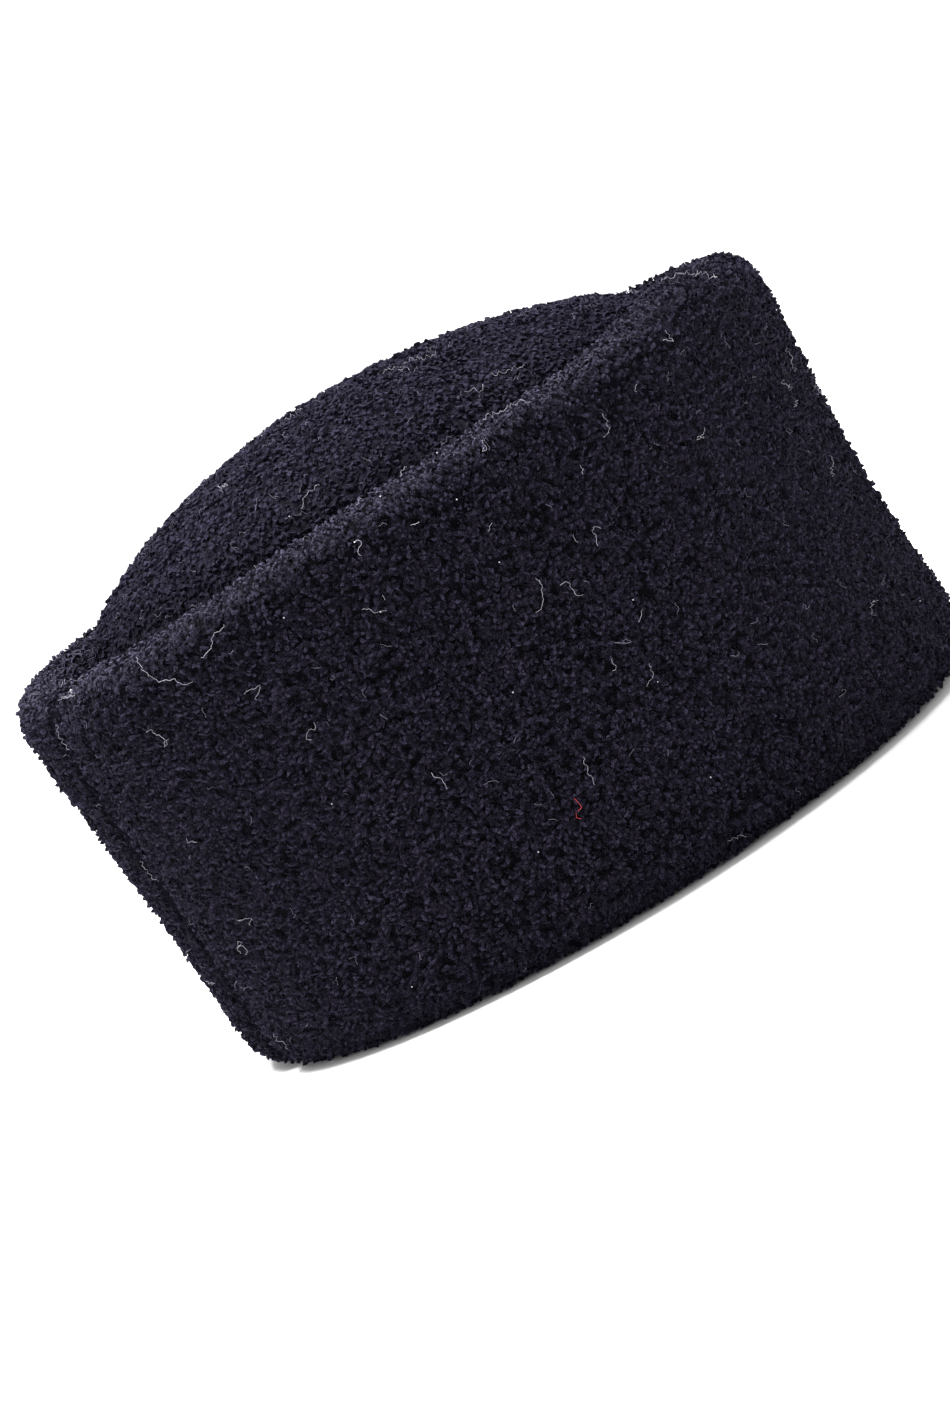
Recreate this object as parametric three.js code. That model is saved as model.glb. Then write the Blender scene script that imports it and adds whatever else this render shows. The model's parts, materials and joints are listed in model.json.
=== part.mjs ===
// A Caucasian fur hat of black curly sheepskin: a thick folded band round a domed crown.
// Millimetres, +Z up. The wearer's front is -Y, and the hem stands on z = 0.
import * as THREE from "three";
import { ParametricGeometry } from "three/addons/geometries/ParametricGeometry.js";

// The opening for the head, 58 cm round.
const HEAD_LENGTH = 200;
const HEAD_WIDTH = 168;

// The band: two layers of fur, pile included, folded over at the rim and under at the hem.
const WALL_AT_HEM = 18;
const WALL_AT_RIM = 22;
const HEIGHT_AT_FRONT = 132;
const HEIGHT_AT_SIDES = 130.5;
const HEIGHT_AT_BACK = 124;
const HEM_FORWARD = 6; // the hem lies this far in front of the rim, so the back leans out
const HEM_OUTER_ROUND = 9; // how far the hem's outer corner is rounded in, and how far up
const HEM_OUTER_RISE = 14;
const HEM_INNER_ROUND = 5;
const ROLL_RISE = 11; // the rolled rim above the straight wall

// The seam that closes the band at the back. It is deepest at the hem.
const SEAM_DEPTH = 4.5;
const SEAM_DEPTH_AT_RIM = 1.6;
const SEAM_WIDTH = 9;
const SEAM_LEAN = 14; // how far its top lies to the hat's left of its foot
const SEAM_NOTCH = 4; // how far the seam pulls the rim down
const NOTCH_WIDTH = 16;

// The crown: one domed round of fur, sewn to the band inside the rolled rim.
const CROWN_RISE = 22; // its top above the rim
const CROWN_SINK = 14; // the valley round it below the rim
const CROWN_THICKNESS = 9;
const CROWN_EDGE_DEPTH = 13; // the edge that is turned down and sewn
const CROWN_EDGE_THICKNESS = 4;
const CROWN_PEAK_BACK = 4; // how far its top lies behind the middle of the rim
const SEWING_GAP = 0.3;

const FUR_COLOUR = 0x1a1920;
const CROWN_COLOUR = 0x24232c;
const FUR_ROUGHNESS = 0.95;

// How many faces go round the hat, round each bend and along each plain stretch.
const COLUMNS = 96;
const INNER_HEM_FACES = 3;
const OUTER_HEM_FACES = 4;
const ROLL_FACES = 8;
const INNER_WALL_FACES = 3;
const DOME_FACES = 9;

// How the wall swells from the hem to the rim. Height is a share of the straight wall and
// swell a share of what the rim's wall is thicker by.
const WALL_ROWS = [
  { height: 0.12, swell: -0.02 },
  { height: 0.3, swell: 0.06 },
  { height: 0.5, swell: 0.34 },
  { height: 0.7, swell: 0.64 },
  { height: 0.86, swell: 0.86 },
  { height: 0.95, swell: 0.96 },
];

// Soft swells and sags in the rim's height. Angle and spread are degrees round from +X, and
// rise is a share of the roll's own.
const RIM_WAVES = [
  { angle: 218, spread: 17, rise: 0.46 },
  { angle: 118, spread: 16, rise: -0.1 },
  { angle: 35, spread: 20, rise: -0.14 },
  { angle: -40, spread: 24, rise: 0.1 },
];

// Soft hollows (depth above 0) and swells (below 0) in the band. Angle and spread are degrees
// round from +X, height and reach are shares of the band's height, depth of the hem's wall.
const BAND_DENTS = [
  { angle: -90, spread: 46, height: 0.1, reach: 0.16, depth: -0.2 },
  { angle: -90, spread: 50, height: 0.52, reach: 0.26, depth: 0.1 },
  { angle: 214, spread: 17, height: 0.4, reach: 0.3, depth: 0.13 },
  { angle: 168, spread: 20, height: 0.2, reach: 0.24, depth: -0.14 },
  { angle: 188, spread: 16, height: 0.72, reach: 0.22, depth: 0.1 },
  { angle: 128, spread: 18, height: 0.55, reach: 0.3, depth: 0.1 },
  { angle: 40, spread: 22, height: 0.45, reach: 0.28, depth: 0.14 },
  { angle: -8, spread: 20, height: 0.3, reach: 0.24, depth: -0.12 },
  { angle: -45, spread: 18, height: 0.6, reach: 0.3, depth: 0.1 },
];

// Soft hollows in the crown. Angle and spread are degrees round from +X, out and reach are
// shares of the way from its middle to its edge, depth of the crown's thickness.
const CROWN_DENTS = [
  { angle: 203, spread: 13, out: 0.66, reach: 0.3, depth: 0.34 },
  { angle: 178, spread: 16, out: 0.6, reach: 0.26, depth: -0.16 },
  { angle: 245, spread: 30, out: 0.75, reach: 0.25, depth: 0.16 },
  { angle: 60, spread: 26, out: 0.55, reach: 0.3, depth: 0.16 },
  { angle: -30, spread: 24, out: 0.6, reach: 0.26, depth: -0.12 },
];

// The power of the crown's profile: 2 is an ellipse, and less has a slacker shoulder.
const DOME_POWER = 2.1;

const QUARTER_TURN = Math.PI / 2;

// A bell from 1 at no distance down to 0 a few widths away.
function bell(distance, width) {
  return Math.exp(-((distance / width) ** 2));
}

// The turn in degrees between a column and an angle given in degrees, the short way round.
function degreesFrom(column, degrees) {
  const turn = THREE.MathUtils.radToDeg(column) - degrees;
  return Math.abs(THREE.MathUtils.euclideanModulo(turn + 180, 360) - 180);
}

// The way round the band's back between a column and the seam.
function besideSeam(column, up) {
  const lean = SEAM_LEAN * (up / HEIGHT_AT_SIDES) ** 2;
  return Math.abs((column - QUARTER_TURN) * (HEAD_WIDTH / 2 + WALL_AT_HEM) - lean);
}

// The rim's height over a point on the way from the middle (0) to the rim (1).
function rimHeight(column, way) {
  const end = Math.sin(column) > 0 ? HEIGHT_AT_BACK : HEIGHT_AT_FRONT;
  const waves = RIM_WAVES.map((wave) => wave.rise * bell(degreesFrom(column, wave.angle), wave.spread));
  const wavy = waves.reduce((sum, rise) => sum + rise, 0) * ROLL_RISE;
  const towardsEnd = (Math.sin(column) * way) ** 2;
  return THREE.MathUtils.lerp(HEIGHT_AT_SIDES, end, towardsEnd) + wavy * way ** 2;
}

// The middle of the head's oval at a height.
function middleAt(up) {
  return new THREE.Vector3(0, -HEM_FORWARD * (1 - up / HEIGHT_AT_SIDES), up);
}

// A point that lies out from the head's oval, square to it.
function fromHead(column, out, up) {
  const oval = new THREE.Vector3(Math.cos(column) * HEAD_WIDTH, Math.sin(column) * HEAD_LENGTH, 0);
  const outward = new THREE.Vector3(oval.x / HEAD_WIDTH ** 2, oval.y / HEAD_LENGTH ** 2, 0);
  return middleAt(up).addScaledVector(oval, 1 / 2).addScaledVector(outward.normalize(), out);
}

// Points (out, up) along an elliptical arc, its angles in quarter turns.
function arc(middle, radii, from, to, faces) {
  return Array.from({ length: faces + 1 }, (_, i) => {
    const angle = THREE.MathUtils.lerp(from, to, i / faces) * QUARTER_TURN;
    return new THREE.Vector2(Math.cos(angle), Math.sin(angle)).multiply(radii).add(middle);
  });
}

// How far the seam and the dents press the band's outer face in.
function pressedIn(column, up) {
  const height = up / HEIGHT_AT_SIDES;
  const depth = THREE.MathUtils.lerp(SEAM_DEPTH, SEAM_DEPTH_AT_RIM, height);
  const dents = BAND_DENTS.map(
    (dent) =>
      dent.depth *
      WALL_AT_HEM *
      bell(degreesFrom(column, dent.angle), dent.spread) *
      bell(height - dent.height, dent.reach),
  );
  return dents.reduce((sum, dent) => sum + dent, depth * bell(besideSeam(column, up), SEAM_WIDTH / 2));
}

// The band's closed section at a column: hem, outer wall, rolled rim and inner wall. What
// presses the outer face in leaves the hem's flat and the inner wall where they are.
function bandSection(column) {
  const notch = SEAM_NOTCH * bell(besideSeam(column, HEIGHT_AT_SIDES), NOTCH_WIDTH / 2);
  const shoulder = rimHeight(column, 1) - notch - ROLL_RISE;
  const innerHem = new THREE.Vector2(HEM_INNER_ROUND, HEM_INNER_ROUND);
  const outerHem = new THREE.Vector2(HEM_OUTER_ROUND, HEM_OUTER_RISE);
  const outerHemMiddle = new THREE.Vector2(WALL_AT_HEM - HEM_OUTER_ROUND, HEM_OUTER_RISE);
  const roll = new THREE.Vector2(WALL_AT_RIM / 2, ROLL_RISE);
  const rollMiddle = new THREE.Vector2(WALL_AT_RIM / 2, shoulder);
  const wall = WALL_ROWS.map(
    ({ height, swell }) =>
      new THREE.Vector2(
        THREE.MathUtils.lerp(WALL_AT_HEM, WALL_AT_RIM, swell),
        THREE.MathUtils.lerp(HEM_OUTER_RISE, shoulder, height),
      ),
  );
  const innerWall = Array.from(
    { length: INNER_WALL_FACES - 1 },
    (_, i) => new THREE.Vector2(0, shoulder * (1 - (i + 1) / INNER_WALL_FACES)),
  );
  const outline = [
    ...arc(innerHem, innerHem, 2, 3, INNER_HEM_FACES),
    ...arc(outerHemMiddle, outerHem, 3, 4, OUTER_HEM_FACES),
    ...wall,
    ...arc(rollMiddle, roll, 0, 2, ROLL_FACES),
    ...innerWall,
  ];
  const pressed = outline.map(({ x, y }) => {
    const share = (x / WALL_AT_RIM) * Math.min(1, y / HEM_OUTER_RISE);
    return new THREE.Vector2(x - pressedIn(column, y) * Math.max(0, share), y);
  });
  return [...pressed, pressed[0]];
}

// The crown's height above the valley, as a share of its whole rise.
function domed(share) {
  return Math.max(0, 1 - share ** DOME_POWER) ** (1 / 2);
}

// How far the dents press the crown down. They fade out at its middle and at its edge.
function sunkIn(column, share) {
  const dents = CROWN_DENTS.map(
    (dent) =>
      dent.depth * bell(degreesFrom(column, dent.angle), dent.spread) * bell(share - dent.out, dent.reach),
  );
  const fade = Math.sin(share * Math.PI);
  return dents.reduce((sum, dent) => sum + dent, 0) * CROWN_THICKNESS * fade;
}

// The crown's section at a column, from its middle out along the underside, round the sewn
// edge and back over the top. Each point has its share of the way out and its height.
function crownSection(column) {
  const innerEdge = 1 - CROWN_EDGE_THICKNESS / (HEAD_LENGTH / 2);
  const underside = CROWN_EDGE_DEPTH / 2;
  const rise = CROWN_RISE + CROWN_SINK;
  const valley = (share) => rimHeight(column, share) - CROWN_SINK - sunkIn(column, share);
  const dome = Array.from({ length: DOME_FACES + 1 }, (_, i) => Math.sin((i / DOME_FACES) * QUARTER_TURN));
  const top = dome.map((share) => ({ share, up: valley(share) + rise * domed(share) }));
  const under = dome.map((share) => ({
    share: share * innerEdge,
    up: valley(share) - underside + (rise + underside - CROWN_THICKNESS) * domed(share),
  }));
  const sewn = [innerEdge, 1].map((share) => ({ share, up: valley(1) - CROWN_EDGE_DEPTH }));
  return [...under, ...sewn, ...top.reverse()];
}

// A point of the crown, whose edge follows the inside of the band.
function fromMiddle(column, share, up) {
  const back = new THREE.Vector3(0, CROWN_PEAK_BACK * (1 - share ** 2), 0);
  return middleAt(up).lerp(fromHead(column, -SEWING_GAP, up), share).add(back);
}

// A closed skin through one section for each column, all worked out once.
function skin(name, colour, section, place) {
  const sections = Array.from({ length: COLUMNS }, (_, i) => section((i / COLUMNS) * 4 * QUARTER_TURN));
  const stations = sections[0].length - 1;
  const geometry = new ParametricGeometry(
    (round, along, target) => {
      const column = Math.round(round * COLUMNS) % COLUMNS;
      const point = sections[column][Math.round(along * stations)];
      target.copy(place((column / COLUMNS) * 4 * QUARTER_TURN, point));
    },
    COLUMNS,
    stations,
  );
  const material = new THREE.MeshStandardMaterial({
    color: colour,
    roughness: FUR_ROUGHNESS,
    metalness: 0,
  });
  const mesh = new THREE.Mesh(geometry, material);
  mesh.name = name;
  return mesh;
}

const band = skin("fur_band", FUR_COLOUR, bandSection, (column, { x, y }) => fromHead(column, x, y));
const crown = skin("fur_crown", CROWN_COLOUR, crownSection, (column, { share, up }) =>
  fromMiddle(column, share, up),
);

const hat = new THREE.Group();
hat.add(band, crown);

// The origin lies on the ground under the middle of the hat's outline.
const middle = new THREE.Box3().setFromObject(hat).getCenter(new THREE.Vector3());
hat.position.set(-middle.x, -middle.y, 0);

export default hat;
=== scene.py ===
# %% [markdown]
# A fur hat of black curly sheepskin
#
# The real hat is two pieces of sheepskin. A tall band is folded over into a round rim at
# the top and turned under at the hem, and one domed round is sewn inside the rim. The pile
# is short, even and curly, so the hat is nearly all one dark texture, and what the eye
# reads is the size of the curls, the pale edge where they catch the light and the stray
# fibres that cling to them.
#
# The solids of both pieces are loaded first, in metres. Each is then dressed with a skin
# that follows it, and with thousands of small curls that grow from the skin.

# %% The solids and their box
import json
import math
import random
from collections import namedtuple

import bmesh
import bpy
from mathutils import Matrix, Vector
from mathutils.bvhtree import BVHTree

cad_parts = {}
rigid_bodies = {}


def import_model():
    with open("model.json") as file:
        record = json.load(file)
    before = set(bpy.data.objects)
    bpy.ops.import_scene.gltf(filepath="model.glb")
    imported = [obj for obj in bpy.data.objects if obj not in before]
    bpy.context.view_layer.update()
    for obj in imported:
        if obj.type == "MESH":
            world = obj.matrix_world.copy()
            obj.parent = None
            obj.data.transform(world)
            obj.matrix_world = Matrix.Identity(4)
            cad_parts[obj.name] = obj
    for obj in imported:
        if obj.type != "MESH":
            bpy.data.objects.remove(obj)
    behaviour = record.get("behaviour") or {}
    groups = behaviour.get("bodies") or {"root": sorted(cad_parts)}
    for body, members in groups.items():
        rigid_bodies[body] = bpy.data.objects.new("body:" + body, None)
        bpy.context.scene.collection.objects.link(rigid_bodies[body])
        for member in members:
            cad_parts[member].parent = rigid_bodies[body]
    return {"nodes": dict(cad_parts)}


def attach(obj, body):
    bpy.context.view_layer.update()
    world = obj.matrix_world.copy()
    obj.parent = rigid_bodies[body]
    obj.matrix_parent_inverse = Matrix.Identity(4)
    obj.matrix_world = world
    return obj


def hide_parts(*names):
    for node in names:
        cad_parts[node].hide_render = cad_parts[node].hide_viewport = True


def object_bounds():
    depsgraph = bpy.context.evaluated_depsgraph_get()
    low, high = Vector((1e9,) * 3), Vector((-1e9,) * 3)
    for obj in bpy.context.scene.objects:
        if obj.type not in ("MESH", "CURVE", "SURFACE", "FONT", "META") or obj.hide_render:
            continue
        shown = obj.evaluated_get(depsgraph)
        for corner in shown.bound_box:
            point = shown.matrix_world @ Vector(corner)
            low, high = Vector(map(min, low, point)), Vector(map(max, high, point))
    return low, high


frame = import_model()
cad_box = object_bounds()
MM = 0.001

print("solids", sorted(frame["nodes"]))
print("box in mm", [[round(n / MM, 1) for n in corner] for corner in cad_box])

# %% [markdown]
# Helpers for materials, node trees and meshes
#
# Colours are easiest to write as a picture shows them, as sRGB hex numbers. Shaders work in
# linear light, so one function turns one into the other. The next function adds one node
# to a tree: its settings are named as Blender names them, and each of its sockets gets
# either a value or the output that feeds it. The last ones start a material, end a shape
# and put it into the scene.

# %% Colours, nodes, meshes and objects
LAST_STEP = 255


def linear(colour):
    """An sRGB hex number as the four numbers of a linear colour."""
    shares = [(colour >> shift & LAST_STEP) / LAST_STEP for shift in (16, 8, 0)]
    curve = [n / 12.92 if n <= 0.04045 else ((n + 0.055) / 1.055) ** 2.4 for n in shares]
    return (*curve, 1)


def add(tree, kind, sockets=None, **settings):
    """Adds a node, sets it and links or fills the sockets that are named."""
    node = tree.nodes.new(kind)
    for name, value in settings.items():
        setattr(node, name, value)
    for name, value in (sockets or {}).items():
        if isinstance(value, bpy.types.NodeSocket):
            tree.links.new(value, node.inputs[name])
        else:
            node.inputs[name].default_value = value
    return node


def new_material(name):
    """A new material and its node tree, which is still empty."""
    material = bpy.data.materials.new(name)
    material.use_nodes = True
    material.node_tree.nodes.clear()
    return material, material.node_tree


def mesh_of(shape, name):
    """The finished mesh of a shape, whose bmesh isn't needed any more."""
    mesh = bpy.data.meshes.new(name)
    shape.to_mesh(mesh)
    shape.free()
    return mesh


def placed(name, data):
    """A new object in the scene, with a mesh, a curve, a light or a camera."""
    made = bpy.data.objects.new(name, data)
    bpy.context.scene.collection.objects.link(made)
    return made


print("black sheepskin in linear light", [round(n, 4) for n in linear(0x18171F)])

# %% [markdown]
# The pattern of the fleece
#
# Close up the fleece is a field of soft knobs, each a lock of wool that curled up on itself,
# with dark creases between them. A Voronoi texture gives such cells: its distance is least
# in the middle of a cell and greatest where cells meet. A finer noise is added to the place
# before the texture reads it, so that the cells lose their straight sides.
#
# The same nodes are used three times: in the sheet under the curls, which rises with the
# knobs on the crown, where the curls are planted, which stand higher on the knobs, and in
# the material, which paints shade into the creases. All three read the place where a curl is
# rooted, so that shape and painted shade agree.

# %% Knobs and creases
BAND_KNOBS = 1.9 * MM  # how wide a knob is
CROWN_KNOBS = 2.5 * MM
UNEVENNESS = 0.8  # 1 lets the cells differ as much as they can, 0 makes them all alike
SOFTNESS = 0.2  # how gently one cell passes into the next
TUFT_WIDTH = 1.2 * MM
WARP = 1.0 * MM  # how far the tufts bend the outlines of the knobs
KNOB_FROM = 0.3  # distances in cells: nearer than this is the top of a knob
KNOB_TO = 0.74  # and farther than this is the bottom of a crease


def knob_pattern(tree, place, width):
    """From 0 in the creases to 1 on the knobs."""
    tufts = add(tree, "ShaderNodeTexNoise", {"Vector": place, "Scale": 1 / TUFT_WIDTH})
    bent = add(
        tree,
        "ShaderNodeVectorMath",
        {0: tufts.outputs["Color"], 1: (WARP, WARP, WARP), 2: place},
        operation="MULTIPLY_ADD",
    )
    cells = add(
        tree,
        "ShaderNodeTexVoronoi",
        {
            "Vector": bent.outputs["Vector"],
            "Scale": 1 / width,
            "Smoothness": SOFTNESS,
            "Randomness": UNEVENNESS,
        },
        feature="SMOOTH_F1",
    )
    knobs = add(
        tree,
        "ShaderNodeMapRange",
        {"Value": cells.outputs["Distance"], 1: KNOB_FROM, 2: KNOB_TO, 3: 1.0, 4: 0.0},
    )
    return knobs.outputs["Result"]


print("knobs in mm", {"band": round(BAND_KNOBS / MM, 1), "crown": round(CROWN_KNOBS / MM, 1)})

# %% [markdown]
# The curly pile
#
# Sheepskin for hats is dyed, steamed and clipped, and its wool dries in tight curls about
# a millimetre thick. Wool is rough, so it has hardly any gloss, and on so dark a fur even a
# little would turn black to grey. The crest of the rim gets a painted highlight, most where
# the pile faces up and less towards the front, and the creases get painted shade.
#
# The meshes carry four attributes for this: *place* is where on the skin a curl is rooted,
# *tint* is how pale the dye left it, kept low on the sheet under the curls as painted shade,
# *crest* is a painted highlight that grows towards the top of the rim, and
# *depth* grows towards the bottom of the seam, which it sinks, and of the valley
# round the crown, and paints shade in both.

# %% The material of the pile
FIBRE_WIDTH = 0.5 * MM  # a real fibre is 0.04 mm, too fine to show, so bundles are drawn
BUNDLE_GAP = 0.36  # what the noise is, between two bundles of fibres
BUNDLE_MIDDLE = 0.66  # and in the middle of one
BUNDLE_LIGHT = 1.2  # over 1, so that most of a bundle has the full colour
PATCH_WIDTH = 22 * MM  # how wide the places are where the dye came out browner
SEAM_LIGHT = 0.05  # painted shade: the share of its colour that the pile keeps at the bottom of the seam


def full_colour(tree, place, tint, crest, pale_colour):
    """The colour of a curl in full light, from its dye, its tint and the painted highlight on the
    rim's crest.
    """
    patches = add(tree, "ShaderNodeTexNoise", {"Vector": place, "Scale": 1 / PATCH_WIDTH})
    dyed = add(
        tree,
        "ShaderNodeMix",
        {"Factor": patches.outputs["Fac"], 6: linear(0x13111B), 7: linear(0x161319)},
        data_type="RGBA",
    )
    paler = add(
        tree,
        "ShaderNodeMix",
        {"Factor": tint, 6: dyed.outputs[2], 7: pale_colour},
        data_type="RGBA",
    )
    # painted highlight: the pale colour of the lit top of the rim
    rubbed = add(
        tree,
        "ShaderNodeMix",
        {"Factor": crest, 6: paler.outputs[2], 7: linear(0x5C586C)},
        data_type="RGBA",
    )
    return rubbed.outputs[2]


def curl_light(tree, fibres, knobs, depth, gap_light):
    """Painted shade, as the share of full colour a place keeps: less between bundles of fibres, in
    creases and in the seam.
    """
    bundles = add(
        tree,
        "ShaderNodeMapRange",
        {"Value": fibres, 1: BUNDLE_GAP, 2: BUNDLE_MIDDLE, 3: gap_light, 4: BUNDLE_LIGHT},
    )
    light = add(
        tree, "ShaderNodeMapRange", {"Value": depth, 1: 0.0, 2: 1.0, 3: 1.0, 4: SEAM_LIGHT}
    )
    share = knobs
    for other in (bundles.outputs["Result"], light.outputs["Result"]):
        share = add(tree, "ShaderNodeMath", {0: share, 1: other}, operation="MULTIPLY").outputs[0]
    return share


def pile_material(name, knob_width, gap_light, painted_shade_colour, pale_colour):
    """Dyed, steamed and clipped lamb's wool: matt, with a trace of sheen, painted shade in its
    creases and a painted highlight on the rim's crest.
    """
    material, tree = new_material(name)
    place = add(tree, "ShaderNodeTexCoord").outputs["Object"]
    root = add(tree, "ShaderNodeAttribute", attribute_name="place").outputs["Vector"]
    tint, crest, depth = (
        add(tree, "ShaderNodeAttribute", attribute_name=held).outputs["Fac"]
        for held in ("tint", "crest", "depth")
    )
    fibres = add(
        tree, "ShaderNodeTexNoise", {"Vector": place, "Scale": 1 / FIBRE_WIDTH, "Detail": 1.0}
    )
    knobs = knob_pattern(tree, root, knob_width)
    # painted shade: the colour runs from the painted shade colour in the creases, between bundles
    # of fibres and in the seam, up to the curl's full colour
    shaded = add(
        tree,
        "ShaderNodeMix",
        {
            "Factor": curl_light(tree, fibres.outputs["Fac"], knobs, depth, gap_light),
            6: painted_shade_colour,
            7: full_colour(tree, place, tint, crest, pale_colour),
        },
        data_type="RGBA",
    )
    relief = add(
        tree,
        "ShaderNodeBump",
        {"Height": fibres.outputs["Fac"], "Strength": 1.0, "Distance": FIBRE_WIDTH},
    )
    shader = add(
        tree,
        "ShaderNodeBsdfPrincipled",
        {
            "Base Color": shaded.outputs[2],
            "Roughness": 0.8,
            "Specular IOR Level": 0.02,
            "Sheen Weight": 0.08,
            "Sheen Roughness": 0.4,
            "Sheen Tint": linear(0xA8A5CC),
            "Normal": relief.outputs["Normal"],
        },
    )
    add(tree, "ShaderNodeOutputMaterial", {"Surface": shader.outputs["BSDF"]})
    return material


print("bundles of fibres are drawn", round(FIBRE_WIDTH / MM, 1), "mm wide")


# %% The three kinds of wool
def root_material():
    """The wool close to the skin, painted nearly black as shade, because hardly any light comes
    there.
    """
    material, tree = new_material("Sheepskin, wool at the roots")
    place = add(tree, "ShaderNodeTexCoord").outputs["Object"]
    fibres = add(tree, "ShaderNodeTexNoise", {"Vector": place, "Scale": 1 / FIBRE_WIDTH})
    # painted shade: near-black wool under the curls
    wool = add(
        tree,
        "ShaderNodeMix",
        {"Factor": fibres.outputs["Fac"], 6: linear(0x020203), 7: linear(0x121118)},
        data_type="RGBA",
    )
    shader = add(
        tree,
        "ShaderNodeBsdfPrincipled",
        {"Base Color": wool.outputs[2], "Roughness": 1.0, "Specular IOR Level": 0.0},
    )
    add(tree, "ShaderNodeOutputMaterial", {"Surface": shader.outputs["BSDF"]})
    return material


band_pile = pile_material(
    "Curly sheepskin, dyed black",
    BAND_KNOBS,
    gap_light=0.2,
    painted_shade_colour=linear(0x020203),
    pale_colour=linear(0x343041),
)
crown_pile = pile_material(
    "Curly sheepskin, dyed black, crown",
    CROWN_KNOBS,
    gap_light=0.6,
    painted_shade_colour=linear(0x060509),
    pale_colour=linear(0x2F2C3C),
)
roots = root_material()
print("made", band_pile.name, "and", crown_pile.name, "and", roots.name)

# %% [markdown]
# The leather side
#
# Inside the hat, where no pile was turned in, the sheepskin shows its leather side. It is
# dyed through with the wool and brushed, which gives a matt nap like suede's. The photograph
# doesn't show it, so it is finished plainly.

# %% The material of the leather side
NAP_WIDTH = 0.5 * MM
GRAIN_WIDTH = 4 * MM


def leather_material():
    """Brushed leather side of a sheepskin: dry, dark and slightly mottled."""
    material, tree = new_material("Sheepskin leather side, brushed")
    place = add(tree, "ShaderNodeTexCoord").outputs["Object"]
    nap = add(tree, "ShaderNodeTexNoise", {"Vector": place, "Scale": 1 / NAP_WIDTH})
    grain = add(tree, "ShaderNodeTexNoise", {"Vector": place, "Scale": 1 / GRAIN_WIDTH})
    mottled = add(
        tree,
        "ShaderNodeMix",
        {"Factor": grain.outputs["Fac"], 6: linear(0x1D1B20), 7: linear(0x2E2A2E)},
        data_type="RGBA",
    )
    relief = add(
        tree,
        "ShaderNodeBump",
        {"Height": nap.outputs["Fac"], "Strength": 0.4, "Distance": NAP_WIDTH},
    )
    shader = add(
        tree,
        "ShaderNodeBsdfPrincipled",
        {
            "Base Color": mottled.outputs[2],
            "Roughness": 0.9,
            "Specular IOR Level": 0.2,
            "Sheen Weight": 0.15,
            "Normal": relief.outputs["Normal"],
        },
    )
    add(tree, "ShaderNodeOutputMaterial", {"Surface": shader.outputs["BSDF"]})
    return material


leather = leather_material()
print("made", leather.name)

# %% [markdown]
# The skins
#
# A skin is a copy of the solid that it replaces. The solid's mesh comes as loose triangles,
# so its doubles are merged and its triangles joined in pairs to quads, and one level of
# Subdivision Surface rounds what was faceted. Copying keeps the hat's true form, its dents
# and its seam, which a new mesh would have to be fitted to.
#
# The solid's surface is where the ends of the curls lie. So the skin is sunk by the height
# of the pile wherever curls are to grow, and the curls bring it back to its size.

# %% Copies of the two solids
SAME_PLACE = 0.01 * MM  # vertices nearer than this are one
FLAT_ENOUGH = math.radians(60)  # triangles that meet at less than this can make a quad
ANY_SHAPE = math.radians(180)  # whatever its corners are


def rounded_copy(node, name):
    """The merged and subdivided mesh of a solid."""
    shape = bmesh.new()
    shape.from_mesh(frame["nodes"][node].data)
    bmesh.ops.remove_doubles(shape, verts=shape.verts, dist=SAME_PLACE)
    bmesh.ops.join_triangles(
        shape,
        faces=shape.faces,
        angle_face_threshold=FLAT_ENOUGH,
        angle_shape_threshold=ANY_SHAPE,
    )
    carrier = placed(name, mesh_of(shape, name))
    smooth = carrier.modifiers.new("round", "SUBSURF")
    smooth.levels = smooth.render_levels = 1
    applied(carrier)
    return carrier


def applied(carrier):
    """Gives an object the mesh that its modifiers make, and takes them off."""
    graph = bpy.context.evaluated_depsgraph_get()
    made = bpy.data.meshes.new_from_object(carrier.evaluated_get(graph))
    carrier.modifiers.clear()
    carrier.data = made


band = rounded_copy("fur_band", "band_skin")
crown = rounded_copy("fur_crown", "crown_skin")
for skin in (band, crown):
    print(skin.name, "has", len(skin.data.polygons), "faces")

# %% [markdown]
# Where the pile grows
#
# The band has pile on its outside, over the rolled rim and down into the valley round the
# crown. At the hem it is turned under and ends a little way up inside. The crown has pile
# on top only. A ray that falls straight down just inside the band tells how high the valley
# is there: what faces the head and lies lower than the crown can't be seen, and stays bare.
#
# The faces with pile are then numbered in tiers of equal area from the hem to the rim. Each
# tier gets its curls as an object of its own, because one mesh of them all would be too
# large to handle.

# %% Pile, bare leather and tiers
PILE_HEIGHT = 1.3 * MM
TURNED_IN = 12 * MM  # how far up inside the turned hem reaches
INSIDE = 2 * MM  # how far inside the band the valley is felt for
LEAST_UP = 0.05  # the crown has pile where its normal points up by more than this
BAND_TIERS = ("hem", "low_wall", "middle_wall", "high_wall", "rim")
CROWN_TIERS = 1
BARE = -1

crown_tree = BVHTree.FromObject(crown, bpy.context.evaluated_depsgraph_get())
middle = (Vector(cad_box[0]) + Vector(cad_box[1])) / 2
above = cad_box[1][2] + INSIDE


def valley_height(place):
    """How high the crown's edge is beside a point of the band's inner wall."""
    away = Vector((place.x - middle.x, place.y - middle.y, 0))
    start = Vector((place.x, place.y, above)) - away.normalized() * INSIDE
    met = crown_tree.ray_cast(start, Vector((0, 0, -1)))[0]
    return met.z if met else 0


def band_is_bare(face):
    """Whether a face of the band is hidden inside the hat."""
    place = face.calc_center_median()
    away = Vector((place.x - middle.x, place.y - middle.y, 0))
    return face.normal.dot(away) < 0 and TURNED_IN < place.z < valley_height(place)


def crown_is_bare(face):
    """Whether a face of the crown isn't on its top."""
    return face.normal.z < LEAST_UP


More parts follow.
